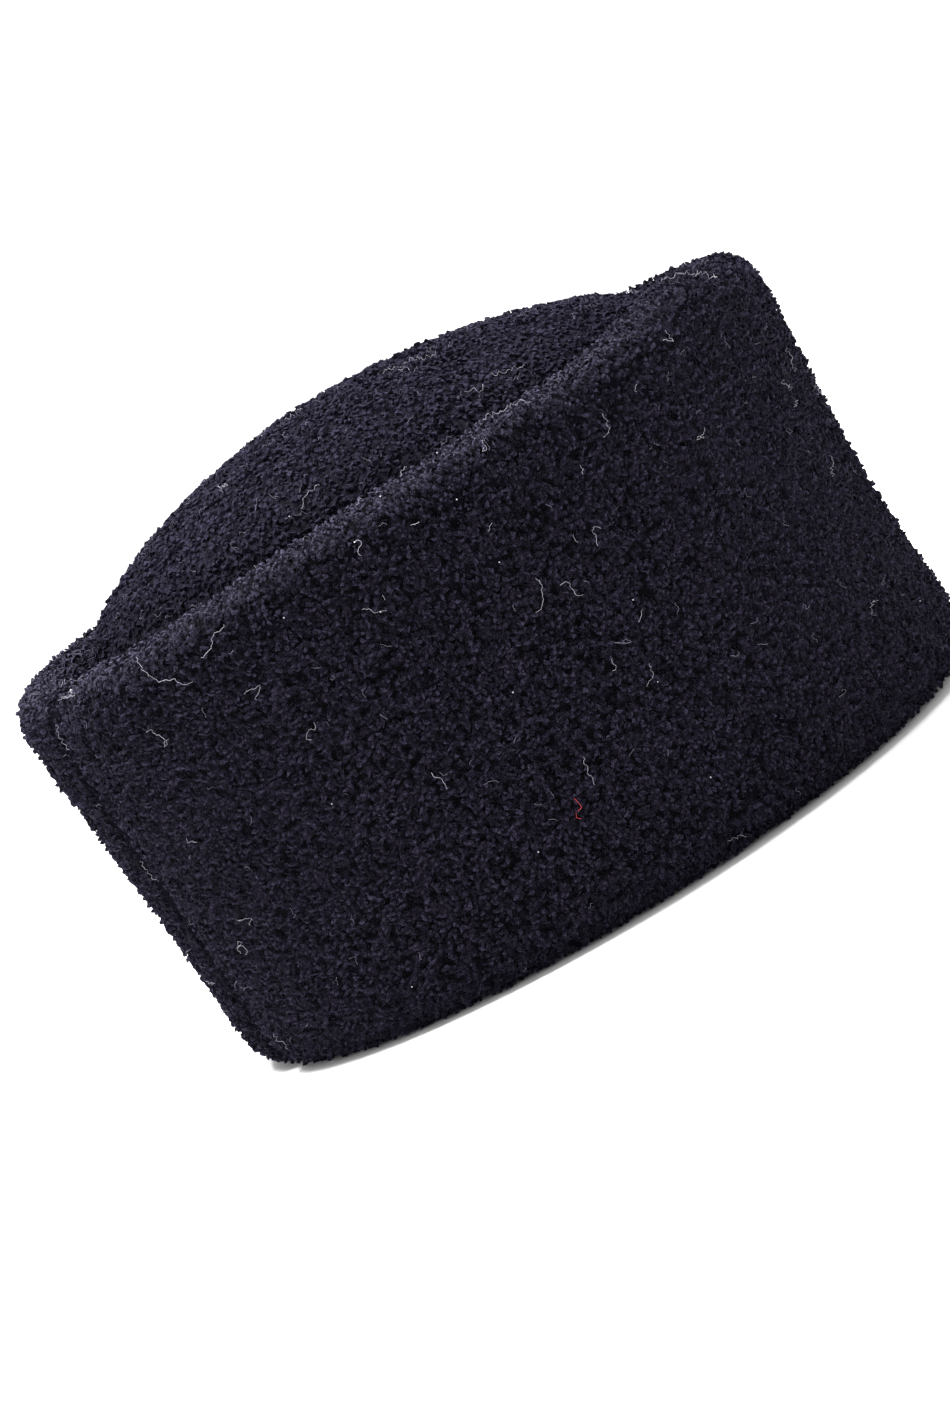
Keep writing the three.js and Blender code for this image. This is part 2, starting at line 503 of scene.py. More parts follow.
def number_faces(skin, is_bare, tiers):
    """Numbers, paints and sinks the faces with pile, and measures their area."""
    shape = bmesh.new()
    shape.from_mesh(skin.data)
    layer = shape.faces.layers.int.new("tier")
    furry = [face for face in shape.faces if not is_bare(face)]
    furry.sort(key=lambda face: face.calc_center_median().z)
    whole = sum(face.calc_area() for face in furry)
    for face in shape.faces:
        face[layer] = BARE
    covered = 0
    for face in furry:
        covered += face.calc_area()
        face[layer] = min(tiers - 1, int(tiers * covered / whole))
    for face in shape.faces:
        face.material_index = int(face[layer] == BARE)
        face.smooth = True
    grown = [v for v in shape.verts if all(face[layer] != BARE for face in v.link_faces)]
    for v in grown:
        v.co -= v.normal * PILE_HEIGHT
    shape.to_mesh(skin.data)
    shape.free()
    skin.data.materials.clear()
    skin.data.materials.append(roots)
    skin.data.materials.append(leather)
    return whole


for skin, is_bare, tiers in (
    (band, band_is_bare, len(BAND_TIERS)),
    (crown, crown_is_bare, CROWN_TIERS),
):
    print(skin.name, "has pile on", round(number_faces(skin, is_bare, tiers) / MM**2), "mm2")

# %% [markdown]
# Curls
#
# A lock of curly wool rises from the skin, bends over and tucks its end back in. The hat
# has some eighty thousand of them, so they have to be light. One curl is a tube of three
# sides that is extruded twice, each time leaning over further, and ends in a point. Smooth
# shading makes its three sides look round. A few different curls, turned and sized at
# random, are enough to look like no two are the same.

# %% One curl
SIDES = 3

Step = namedtuple("Step", "length bend taper")  # its bend is in degrees


def curl(name, thickness, steps):
    """A closed curl from its root up."""
    shape = bmesh.new()
    bmesh.ops.create_circle(shape, cap_ends=True, segments=SIDES, radius=thickness / 2)
    end = shape.faces[:] + shape.edges[:]
    centre = Vector()
    heading = Vector((0, 0, 1))
    for length, bend, taper in steps:
        made = bmesh.ops.extrude_face_region(shape, geom=end)["geom"]
        end = [item for item in made if not isinstance(item, bmesh.types.BMVert)]
        verts = [item for item in made if isinstance(item, bmesh.types.BMVert)]
        turn = Matrix.Rotation(math.radians(bend), 3, "Y")
        heading.rotate(turn)
        bmesh.ops.rotate(shape, verts=verts, cent=centre, matrix=turn)
        bmesh.ops.scale(shape, verts=verts, vec=(taper,) * 3, space=Matrix.Translation(-centre))
        bmesh.ops.translate(shape, verts=verts, vec=heading * length)
        centre += heading * length
    bmesh.ops.pointmerge(shape, verts=verts, merge_co=centre)
    bmesh.ops.recalc_face_normals(shape, faces=shape.faces)
    return bpy.data.objects.new(name, mesh_of(shape, name))


def basket(name, curls):
    """A collection to pick curls from. It isn't in the scene, so it doesn't show."""
    held = bpy.data.collections.new(name)
    for one in curls:
        held.objects.link(one)
    return held


wall_curls = basket(
    "wall curls",
    [
        curl("hook", 1.0 * MM, [Step(1.0 * MM, 20, 1.1), Step(0.8 * MM, 60, 0.6)]),
        curl("wave", 0.9 * MM, [Step(0.9 * MM, 45, 1.1), Step(1.0 * MM, 40, 0.6)]),
        curl("bead", 1.1 * MM, [Step(1.1 * MM, 8, 1.1), Step(0.6 * MM, 40, 0.6)]),
    ],
)
crown_curls = basket(
    "crown curls",
    [
        curl("knob", 1.6 * MM, [Step(1.1 * MM, 15, 1.1), Step(0.8 * MM, 50, 0.6)]),
        curl("twist", 1.4 * MM, [Step(1.1 * MM, 30, 1.05), Step(0.9 * MM, 45, 0.6)]),
    ],
)

# %% [markdown]
# Growing the fleece
#
# Geometry Nodes make the fleece of one tier, in two layers. The lower one is a sheet that
# fills what shows between the curls. The skin is subdivided once more for it and raised in
# soft clumps, and on the crown in knobs too. The sheet also stores what the material reads,
# as attributes on its points, and the curls take them over from it.

# %% The sheet under the curls
CLUMP_WIDTH = 6 * MM  # neighbours within this width stand equally high and lean alike
CLUMP_RISE = 0.8 * MM
CLUMP_LOW = 0.25  # what the noise is at the lowest clump
CLUMP_HIGH = 0.75  # and at the highest
SHEET_LIFT = -0.2 * MM  # from the skin to the lowest clump, which lies just under it
SHEET_TINT = 0.25  # painted shade: the sheet under the curls is duller than any curl on it
CREST_NARROWS = 2.5  # a higher power keeps the painted highlight closer to the top of the rim
NO_HIGHLIGHT_FRONT = -100 * MM  # painted highlight: from here to the front the rim has none
FULL_HIGHLIGHT_FROM = -20 * MM  # and from here to the back it has all of it


def stored(tree, mesh, name, value, kind):
    """The mesh with one more named attribute on its points."""
    held = add(
        tree,
        "GeometryNodeStoreNamedAttribute",
        {"Geometry": mesh, "Name": name, "Value": value},
        data_type=kind,
        domain="POINT",
    )
    return held.outputs["Geometry"]


print("the sheet rises", round(CLUMP_RISE / MM, 1), "mm from its lowest clump to its highest")

# %% [markdown]
# The seam and the valley
#
# The band is one strip that is sewn up at the back. Its thread pulls the leather in, the pile
# leans over the line from both sides, and what is left is a narrow dark furrow. The solid
# gives its course, which leans and curves, and the fleece is pressed in along it and given
# painted shade. The same attribute paints shade on the crown's pile where it dips behind the
# rim, because little light gets down there.

# %% How deep the fleece lies, and its painted shade
SEAM_LEAN = 14 * MM  # as the solid's: how far its top lies beside its foot, towards -X
SEAM_CURVE = 2.0  # the seam leans more and more on its way up, as the square of its height
SEAM_HALF = 5.0 * MM  # half its width
SEAM_SINK = 2.3 * MM
SEAM_TOP_SHARE = 0.4  # how deep the seam still is at the rim
VALLEY_LOW = 122 * MM  # painted shade: the crown's pile is darkest this low, where it meets the rim
VALLEY_HIGH = 137 * MM  # and from here up it isn't darkened
VALLEY_SHADE = 0.6  # the darkest painted shade there, as a share of the mask at the bottom of the band's seam


def seam_depth(tree, apart):
    """From 0 beside the band's seam at the back to 1 in it; it sinks the fleece and paints shade.
    """
    up = add(
        tree, "ShaderNodeMath", {0: apart.outputs["Z"], 1: cad_box[1][2]}, operation="DIVIDE"
    )
    curved = add(
        tree, "ShaderNodeMath", {0: up.outputs["Value"], 1: SEAM_CURVE}, operation="POWER"
    )
    aside = add(
        tree,
        "ShaderNodeMath",
        {0: curved.outputs["Value"], 1: SEAM_LEAN, 2: apart.outputs["X"]},
        operation="MULTIPLY_ADD",
    )
    away = add(tree, "ShaderNodeMath", {0: aside.outputs["Value"]}, operation="ABSOLUTE")
    near = add(
        tree,
        "ShaderNodeMapRange",
        {"Value": away.outputs["Value"], 1: 0.0, 2: SEAM_HALF, 3: 1.0, 4: 0.0},
        interpolation_type="SMOOTHSTEP",
    )
    fading = add(
        tree,
        "ShaderNodeMapRange",
        {"Value": up.outputs["Value"], 1: 0.0, 2: 1.0, 3: 1.0, 4: SEAM_TOP_SHARE},
    )
    behind = add(
        tree, "ShaderNodeMath", {0: apart.outputs["Y"], 1: 0.0}, operation="GREATER_THAN"
    )
    depth = near.outputs["Result"]
    for share in (fading.outputs["Result"], behind.outputs["Value"]):
        depth = add(tree, "ShaderNodeMath", {0: depth, 1: share}, operation="MULTIPLY").outputs[0]
    return depth


def valley_shade(tree, apart):
    """Painted shade, from 0 on the crown's dome to its most beside the rim."""
    low = add(
        tree,
        "ShaderNodeMapRange",
        {"Value": apart.outputs["Z"], 1: VALLEY_LOW, 2: VALLEY_HIGH, 3: VALLEY_SHADE, 4: 0.0},
        interpolation_type="SMOOTHSTEP",
    )
    return low.outputs["Result"]


print("the seam is", round(2 * SEAM_HALF / MM), "mm wide and", round(SEAM_SINK / MM, 1), "mm deep")


# %% The painted highlight on the rim and how high the sheet stands
def crest_share(tree, normal, apart, pile):
    """The painted highlight on the rim: most where the pile faces up, and less at the front."""
    up = add(tree, "ShaderNodeSeparateXYZ", {"Vector": normal}).outputs["Z"]
    upward = add(tree, "ShaderNodeMath", {0: up, 1: 0.0}, operation="MAXIMUM")
    topmost = add(
        tree, "ShaderNodeMath", {0: upward.outputs["Value"], 1: CREST_NARROWS}, operation="POWER"
    )
    rubbed = add(
        tree,
        "ShaderNodeMapRange",
        {"Value": apart.outputs["Y"], 1: NO_HIGHLIGHT_FRONT, 2: FULL_HIGHLIGHT_FROM, 3: 0.0, 4: pile.rubbed},
    )
    crest = add(
        tree,
        "ShaderNodeMath",
        {0: topmost.outputs["Value"], 1: rubbed.outputs["Result"]},
        operation="MULTIPLY",
    )
    return crest.outputs["Value"]


def sheet_height(tree, place, depth, pile):
    """How high the sheet stands over the skin, from its clumps, its knobs and the seam."""
    clumps = add(tree, "ShaderNodeTexNoise", {"Vector": place, "Scale": 1 / CLUMP_WIDTH})
    height = add(
        tree,
        "ShaderNodeMapRange",
        {
            "Value": clumps.outputs["Fac"],
            1: CLUMP_LOW,
            2: CLUMP_HIGH,
            3: SHEET_LIFT,
            4: SHEET_LIFT + CLUMP_RISE,
        },
    )
    knobby = add(
        tree,
        "ShaderNodeMath",
        {
            0: knob_pattern(tree, place, pile.knob_width),
            1: pile.sheet_rise,
            2: height.outputs["Result"],
        },
        operation="MULTIPLY_ADD",
    )
    sunk = add(
        tree,
        "ShaderNodeMath",
        {0: depth, 1: -pile.sink, 2: knobby.outputs["Value"]},
        operation="MULTIPLY_ADD",
    )
    return sunk.outputs["Value"]


print("the rim is rubbed pale from", round(NO_HIGHLIGHT_FRONT / MM), "mm to the back")


# %% The nodes of the sheet
def sheet_nodes(tree, skin, tier, pile):
    """Nodes that raise the skin in clumps and keep the faces of one tier."""
    fine = add(tree, "GeometryNodeSubdivisionSurface", {"Mesh": skin, "Level": 1})
    place = add(tree, "GeometryNodeInputPosition").outputs["Position"]
    normal = add(tree, "GeometryNodeInputNormal").outputs["Normal"]
    apart = add(tree, "ShaderNodeSeparateXYZ", {"Vector": place})
    depth = pile.depth(tree, apart)
    mesh = fine.outputs["Mesh"]
    for name, value, kind in (
        ("place", place, "FLOAT_VECTOR"),
        ("tint", SHEET_TINT, "FLOAT"),
        ("crest", crest_share(tree, normal, apart, pile), "FLOAT"),
        ("depth", depth, "FLOAT"),
    ):
        mesh = stored(tree, mesh, name, value, kind)
    offset = add(
        tree,
        "ShaderNodeVectorMath",
        {0: normal, "Scale": sheet_height(tree, place, depth, pile)},
        operation="SCALE",
    )
    raised = add(tree, "GeometryNodeSetPosition", {"Geometry": mesh, "Offset": offset.outputs[0]})
    tiers = add(tree, "GeometryNodeInputNamedAttribute", {"Name": "tier"}, data_type="INT")
    here = add(
        tree,
        "FunctionNodeCompare",
        {2: tiers.outputs["Attribute"], 3: tier},
        data_type="INT",
        operation="EQUAL",
    )
    cut = add(
        tree,
        "GeometryNodeSeparateGeometry",
        {"Geometry": raised.outputs["Geometry"], "Selection": here.outputs["Result"]},
        domain="FACE",
    )
    return cut.outputs["Selection"]


print("the sheet lies", round(-SHEET_LIFT / MM, 1), "mm under the skin at its lowest clumps")

# %% [markdown]
# Planting the curls
#
# Poisson disk plants the curls a set distance apart, as roots in a skin are, where plain
# random points would leave bald places. Each curl stands on the sheet's normal, higher on a
# knob than in a crease. It is turned and sized at random from a fixed seed, with neighbours
# leaning alike. At the end all is made real, so that the result is one plain mesh.

# %% The curls on the sheet
TRIES = 12  # how many places are tried for each that could be filled
LEAN = 0.35  # the most that a curl leans by itself, in radians
SWIRLS = 3  # whole turns between the clumps that lean most unlike
OTHER_NOISE = 3.0  # how far along its fourth axis, so that leaning and rising differ
DULLEST = 0.35  # tints: how much of the pale colour a curl has at least
PALEST = 0.8  # and at most


def rooted(tree, sheet, pile, seed):
    """Nodes that spread roots over a sheet, lift them on the knobs and tint them."""
    spots = add(
        tree,
        "GeometryNodeDistributePointsOnFaces",
        {
            "Mesh": sheet,
            "Distance Min": pile.spacing,
            "Density Max": TRIES / pile.spacing**2,
            "Seed": seed,
        },
        distribute_method="POISSON",
    )
    place = add(
        tree, "GeometryNodeInputNamedAttribute", {"Name": "place"}, data_type="FLOAT_VECTOR"
    ).outputs["Attribute"]
    height = add(
        tree,
        "ShaderNodeMapRange",
        {
            "Value": knob_pattern(tree, place, pile.knob_width),
            1: 0.0,
            2: 1.0,
            3: pile.curl_low,
            4: pile.curl_high,
        },
    )
    offset = add(
        tree,
        "ShaderNodeVectorMath",
        {0: spots.outputs["Normal"], "Scale": height.outputs["Result"]},
        operation="SCALE",
    )
    stood = add(
        tree,
        "GeometryNodeSetPosition",
        {"Geometry": spots.outputs["Points"], "Offset": offset.outputs[0]},
    )
    tint = add(
        tree,
        "FunctionNodeRandomValue",
        {2: DULLEST, 3: PALEST, "Seed": seed},
        data_type="FLOAT",
    )
    points = stored(tree, stood.outputs["Geometry"], "tint", tint.outputs[1], "FLOAT")
    return points, spots.outputs["Rotation"], place


def turned_curls(tree, rotation, place, seed):
    """Nodes that lean and turn the curls, those of one clump nearly alike."""
    swirl = add(
        tree,
        "ShaderNodeTexNoise",
        {"Vector": place, "W": OTHER_NOISE, "Scale": 1 / CLUMP_WIDTH},
        noise_dimensions="4D",
    )
    alone = add(
        tree,
        "FunctionNodeRandomValue",
        {0: (-LEAN, -LEAN, -1.0), 1: (LEAN, LEAN, 1.0), "Seed": seed + 1},
        data_type="FLOAT_VECTOR",
    )
    turn = add(
        tree,
        "ShaderNodeVectorMath",
        {0: swirl.outputs["Fac"], 1: (0, 0, SWIRLS * 2 * math.pi), 2: alone.outputs[0]},
        operation="MULTIPLY_ADD",
    )
    by = add(tree, "FunctionNodeEulerToRotation", {"Euler": turn.outputs["Vector"]})
    turned = add(
        tree,
        "FunctionNodeRotateRotation",
        {"Rotation": rotation, "Rotate By": by.outputs["Rotation"]},
        rotation_space="LOCAL",
    )
    return turned.outputs["Rotation"]


def curl_nodes(tree, sheet, pile, seed):
    """Nodes that plant the curls on a sheet."""
    points, rotation, place = rooted(tree, sheet, pile, seed)
    size = add(
        tree,
        "FunctionNodeRandomValue",
        {2: pile.smallest, 3: pile.largest, "Seed": seed + 2},
        data_type="FLOAT",
    )
    picked = add(
        tree,
        "FunctionNodeRandomValue",
        {4: 0, 5: len(pile.curls.objects) - 1, "Seed": seed + 3},
        data_type="INT",
    )
    source = add(
        tree,
        "GeometryNodeCollectionInfo",
        {"Collection": pile.curls, "Separate Children": True, "Reset Children": True},
    )
    planted = add(
        tree,
        "GeometryNodeInstanceOnPoints",
        {
            "Points": points,
            "Instance": source.outputs["Instances"],
            "Pick Instance": True,
            "Instance Index": picked.outputs[2],
            "Rotation": turned_curls(tree, rotation, place, seed),
            "Scale": size.outputs[1],
        },
    )
    real = add(tree, "GeometryNodeRealizeInstances", {"Geometry": planted.outputs["Instances"]})
    return real.outputs["Geometry"]


print("a curl leans by itself up to", round(math.degrees(LEAN)), "degrees")

# %% [markdown]
# One tier, from skin to mesh
#
# The sheet and its curls are joined. What would lie too low is pressed up, because the wool
# under the hem gives way where the hat stands on it. The nodes are then applied, so that
# each tier is a plain mesh with its place in its vertices.

# %% One tier of fleece
LOWEST = 0.3 * MM  # no curl reaches lower, so that the hat doesn't sink into what it lies on


def above_ground(tree, mesh):
    """Nodes that press what would lie too low up to the lowest height."""
    place = add(tree, "GeometryNodeInputPosition").outputs["Position"]
    apart = add(tree, "ShaderNodeSeparateXYZ", {"Vector": place})
    height = add(
        tree, "ShaderNodeMath", {0: apart.outputs["Z"], 1: LOWEST}, operation="MAXIMUM"
    )
    pressed = add(
        tree,
        "ShaderNodeCombineXYZ",
        {"X": apart.outputs["X"], "Y": apart.outputs["Y"], "Z": height.outputs["Value"]},
    )
    moved = add(
        tree, "GeometryNodeSetPosition", {"Geometry": mesh, "Position": pressed.outputs["Vector"]}
    )
    return moved.outputs["Geometry"]


def fleece(name, skin, tier, pile, seed):
    """The sheet and the curls of one tier of a skin, as one object."""
    tree = bpy.data.node_groups.new(name, "GeometryNodeTree")
    tree.interface.new_socket("Skin", in_out="INPUT", socket_type="NodeSocketGeometry")
    tree.interface.new_socket("Fleece", in_out="OUTPUT", socket_type="NodeSocketGeometry")
    bare = add(tree, "NodeGroupInput").outputs["Skin"]
    sheet = sheet_nodes(tree, bare, tier, pile)
    curls = curl_nodes(tree, sheet, pile, seed)
    joined = add(tree, "GeometryNodeJoinGeometry")
    for part in (curls, sheet):
        tree.links.new(part, joined.inputs["Geometry"])
    level = above_ground(tree, joined.outputs["Geometry"])
    dressed = add(tree, "GeometryNodeSetMaterial", {"Geometry": level, "Material": pile.material})
    add(tree, "NodeGroupOutput", {"Fleece": dressed.outputs["Geometry"]})

    grown = placed(name, skin.data)
    modifier = grown.modifiers.new("fleece", "NODES")
    modifier.node_group = tree
    applied(grown)
    grown.data.calc_loop_triangles()
    print(name, "has", len(grown.data.loop_triangles), "triangles")
    return grown


print("no curl reaches lower than", round(LOWEST / MM, 1), "mm")

# %% [markdown]
# Two kinds of pile
#
# The two sheepskins aren't quite alike. The band's knobs are small and firm. The crown's are
# wider, softer and flatter, so its curls are thicker, its sheet rises with the knobs too,
# and its curls stand lower on them.

# %% The fleece of the band and the crown
Pile = namedtuple(
    "Pile",
    "curls spacing smallest largest knob_width sheet_rise curl_low curl_high"
    " rubbed depth sink material",
)

wall_pile = Pile(
    curls=wall_curls,
    spacing=1.10 * MM,  # between two roots, at least
    smallest=0.75,  # times the size that the curl was made in
    largest=1.25,
    knob_width=BAND_KNOBS,
    sheet_rise=0.0,  # how much the sheet rises on a knob
    curl_low=-0.9 * MM,  # how a curl stands in a crease
    curl_high=0.5 * MM,  # and on a knob
    rubbed=0.5,  # how strong the painted highlight on the top of the rim is, as a share
    depth=seam_depth,
    sink=SEAM_SINK,
    material=band_pile,
)
top_pile = Pile(
    curls=crown_curls,
    spacing=1.22 * MM,
    smallest=0.8,
    largest=1.25,
    knob_width=CROWN_KNOBS,
    sheet_rise=0.6 * MM,
    curl_low=-1.1 * MM,
    curl_high=0.0 * MM,
    rubbed=0.0,
    depth=valley_shade,
    sink=0.0,
    material=crown_pile,
)
SEEDS_APART = 10
CROWN_SEED = 90

fleeces = [
    fleece("band_fleece_" + part, band, tier, wall_pile, seed=SEEDS_APART * tier)
    for tier, part in enumerate(BAND_TIERS)
]
fleeces.append(fleece("crown_fleece", crown, CROWN_TIERS - 1, top_pile, seed=CROWN_SEED))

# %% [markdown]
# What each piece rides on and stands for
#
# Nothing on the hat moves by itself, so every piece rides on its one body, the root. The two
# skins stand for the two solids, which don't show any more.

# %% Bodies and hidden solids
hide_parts("fur_band")
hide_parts("fur_crown")
for piece in (band, crown, *fleeces):
    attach(piece, "root")
print("riding on the root:", [piece.name for piece in (band, crown, *fleeces)])

# %% [markdown]
# The studio
#
# The photograph has no floor and no horizon, only white. A round bowl of matt white, with
# the hat in the middle of its floor, gives that from every side: its floor runs up into its
# wall in one sweep, so no edge shows.

# %% The bowl
BOWL_RADIUS = 4.0
BOWL_SWEEP = 1.6
BOWL_HEIGHT = 4.5
SWEEP_STEPS = 16  # from floor to wall
ROUND_STEPS = 64


def bowl():
    """The studio's floor and wall, spun from one profile."""
    shape = bmesh.new()
    start = shape.verts.new((0, 0, 0))
    foot = shape.verts.new((BOWL_RADIUS - BOWL_SWEEP, 0, 0))
    shape.edges.new((start, foot))
    sweep = bmesh.ops.spin(
        shape,
        geom=[foot],
        cent=(BOWL_RADIUS - BOWL_SWEEP, 0, BOWL_SWEEP),
        axis=(0, -1, 0),
        angle=math.radians(90),
        steps=SWEEP_STEPS,
    )
    top = [item for item in sweep["geom_last"] if isinstance(item, bmesh.types.BMVert)]
    wall = bmesh.ops.extrude_vert_indiv(shape, verts=top)
    bmesh.ops.translate(shape, verts=wall["verts"], vec=(0, 0, BOWL_HEIGHT - BOWL_SWEEP))
    bmesh.ops.spin(
        shape,
        geom=shape.verts[:] + shape.edges[:],
        cent=(0, 0, 0),
        axis=(0, 0, 1),
        angle=2 * math.pi,
        steps=ROUND_STEPS,
        use_merge=True,
    )
    bmesh.ops.remove_doubles(shape, verts=shape.verts, dist=MM)
    bmesh.ops.recalc_face_normals(shape, faces=shape.faces)
    for face in shape.faces:
        face.smooth = True
    return placed("studio_bowl", mesh_of(shape, "studio_bowl"))


white, white_tree = new_material("Matt white paint")
paint = add(
    white_tree,
    "ShaderNodeBsdfPrincipled",
    {"Base Color": linear(0xF3F3F3), "Roughness": 0.9, "Specular IOR Level": 0.1},
)
add(white_tree, "ShaderNodeOutputMaterial", {"Surface": paint.outputs["BSDF"]})
studio = bowl()
studio.data.materials.append(white)
print("bowl has", len(studio.data.polygons), "faces")

# %% [markdown]
# Light
#
# The photograph has no hard shadow, and its light comes from all round and most of all from
# above: the tops of the rim and of the crown are palest, and the wall gets darker towards
# the hem. White air lights the hat from every side, and one large soft box hangs over it, a
# little behind. Black wool takes in nearly all of that, so the curls are told apart by how
# much of the light each of them gets.

# %% Lights
AIR_LIGHT = 0.7
BOX_PLACE = (0.2, 0.25, 2.2)
BOX_AIM = (0, 0, 0.1)
BOX_WIDTH = 1.2
BOX_POWER = 200

world = bpy.data.worlds.new("studio air")
world.use_nodes = True
bpy.context.scene.world = world
air = world.node_tree.nodes["Background"]
air.inputs["Color"].default_value = linear(0xFFFFFF)
air.inputs["Strength"].default_value = AIR_LIGHT


def soft_box(name, place, aim, width, power):
    """A square area light that looks at a point."""
    light = bpy.data.lights.new(name, "AREA")
    light.size = width
    light.energy = power
    held = placed(name, light)
    held.location = place
    held.rotation_euler = (Vector(aim) - Vector(place)).to_track_quat("-Z", "Y").to_euler()


soft_box("top box", BOX_PLACE, BOX_AIM, BOX_WIDTH, BOX_POWER)
bpy.context.scene.view_settings.view_transform = "Standard"
print("the soft box hangs", BOX_PLACE[2], "m up and gives", BOX_POWER, "W")

# %% [markdown]
# The camera
#
# The photograph was taken from the hat's side at -X and from a little above, and the hat
# lies turned in it. A long lens from just over a metre gives its flat perspective. The
# camera is rolled by the hat's turn, and moved sideways so that the hat lies where it does
# in the frame.

# %% The camera
FRAME_WIDE = 950
FRAME_HIGH = 1425
AIM = Vector((0, 0, 0.076))  # the middle of the hat
AIM_ACROSS = 472.7  # where that point lies in the frame, in pixels
AIM_DOWN = 625.9
AZIMUTH = math.radians(249)
ELEVATION = math.radians(7.63)
ROLL = math.radians(30.1)
DISTANCE = 1.1
SENSOR = 36
LENS = 99.66

back = Vector(
    (
        math.sin(AZIMUTH) * math.cos(ELEVATION),
        -math.cos(AZIMUTH) * math.cos(ELEVATION),
        math.sin(ELEVATION),
    )
)
level = Vector((math.cos(AZIMUTH), math.sin(AZIMUTH), 0))
upright = back.cross(level)
right = level * math.cos(ROLL) - upright * math.sin(ROLL)
up = level * math.sin(ROLL) + upright * math.cos(ROLL)
per_pixel = DISTANCE * SENSOR / LENS / FRAME_HIGH
aside = right * (FRAME_WIDE / 2 - AIM_ACROSS) + up * (AIM_DOWN - FRAME_HIGH / 2)

camera = bpy.data.cameras.new("camera")
camera.lens = LENS
camera.sensor_width = SENSOR
holder = placed("camera", camera)
holder.matrix_world = Matrix.Translation(AIM + back * DISTANCE + aside * per_pixel) @ (
    Matrix((right, up, back)).transposed().to_4x4()
)
bpy.context.scene.camera = holder
print("camera stands", round(holder.location.z, 3), "m above the floor")

# %% [markdown]
# Lint
#
# Black fleece picks up every pale fibre it meets: fine curly hairs of undyed wool, white
# specks, and here one red thread. They are what the eye catches first on so dark a thing.
# Each fibre is a curve that wanders over the hat. It starts where the photograph shows one,
# which a ray from the camera through that place in the frame finds on the skin. After that
# each step is brought back to the nearest place on the skin and lifted to the height of the
# pile, so that the fibre lies on the curls and dips between them. More fibres are strewn at
# random over the sides that the photograph doesn't show, and short fuzz is strewn all over.

# %% The skin as one surface, and the place on it that a pixel shows
LINT_LOW = 1.5 * MM  # over the skin, where it hides between the curls
LINT_HIGH = 3.0 * MM

both_skins = bmesh.new()
for skin in (band, crown):
    both_skins.from_mesh(skin.data)
surface = BVHTree.FromBMesh(both_skins)
both_skins.free()


def shown_at(across, down):
    """The place on the skin, and its normal, that the photograph shows at a pixel."""
    aside = right * (across - FRAME_WIDE / 2) + up * (FRAME_HIGH / 2 - down)
    eye = holder.matrix_world.translation
    return surface.ray_cast(eye, aside * per_pixel - back * DISTANCE)[:2]


print("the middle of the frame shows the skin at", shown_at(FRAME_WIDE / 2, FRAME_HIGH / 2)[0])

# %% One fibre
FIBRE_STEP = 0.6 * MM
KEPT = 0.6  # how much of a bend goes on in the next step
PULL = 0.15  # how strongly a fibre comes back to the way it was laid


def wandering(place, normal, heading, length, curliness, chance):
    """The points of a fibre that starts at a place on the skin and curls over it."""
    points = []
    turning = 0
    turned = 0
    for _ in range(round(length / FIBRE_STEP)):
        height = chance.uniform(LINT_LOW, LINT_HIGH)
        points.append(place + normal * height)
        turning = KEPT * turning - PULL * turned + chance.gauss(0, curliness)
        turned += turning
        heading = Matrix.Rotation(turning, 3, normal) @ heading
        heading = (heading - normal * heading.dot(normal)).normalized()
        place, normal = surface.find_nearest(place + heading * FIBRE_STEP)[:2]
    return points


def fibres(name, routes, thickness, material):
    """Thin tubes along the routes, as one mesh."""
    curve = bpy.data.curves.new(name, "CURVE")
    curve.dimensions = "3D"
    curve.bevel_depth = thickness / 2
    curve.bevel_resolution = 0
    curve.use_fill_caps = True
    for route in routes:
        spline = curve.splines.new("POLY")
        spline.points.add(len(route) - 1)
        for point, place in zip(spline.points, route):
            point.co = (*place, 1)
    tubes = placed(name, curve)
    mesh = bpy.data.meshes.new_from_object(tubes)
    bpy.data.objects.remove(tubes)
    made = placed(name, mesh)
    mesh.materials.append(material)
    for face in mesh.polygons:
        face.use_smooth = True
    print(name, "has", len(mesh.polygons), "faces")
    return made


print("a fibre bends every", round(FIBRE_STEP / MM, 1), "mm")

# %% [markdown]
# Where fibres show
#
# A fibre that the photograph shows is told by where it starts in the frame, in pixels, by
# its first heading in degrees from the frame's right, by its length in millimetres, and by
# how much it curls. How it goes on from there is left to chance, from a fixed seed.

# %% Pale fibres and the red thread
Fibre = namedtuple("Fibre", "across down angle length curliness")
Speck = namedtuple("Speck", "across down")

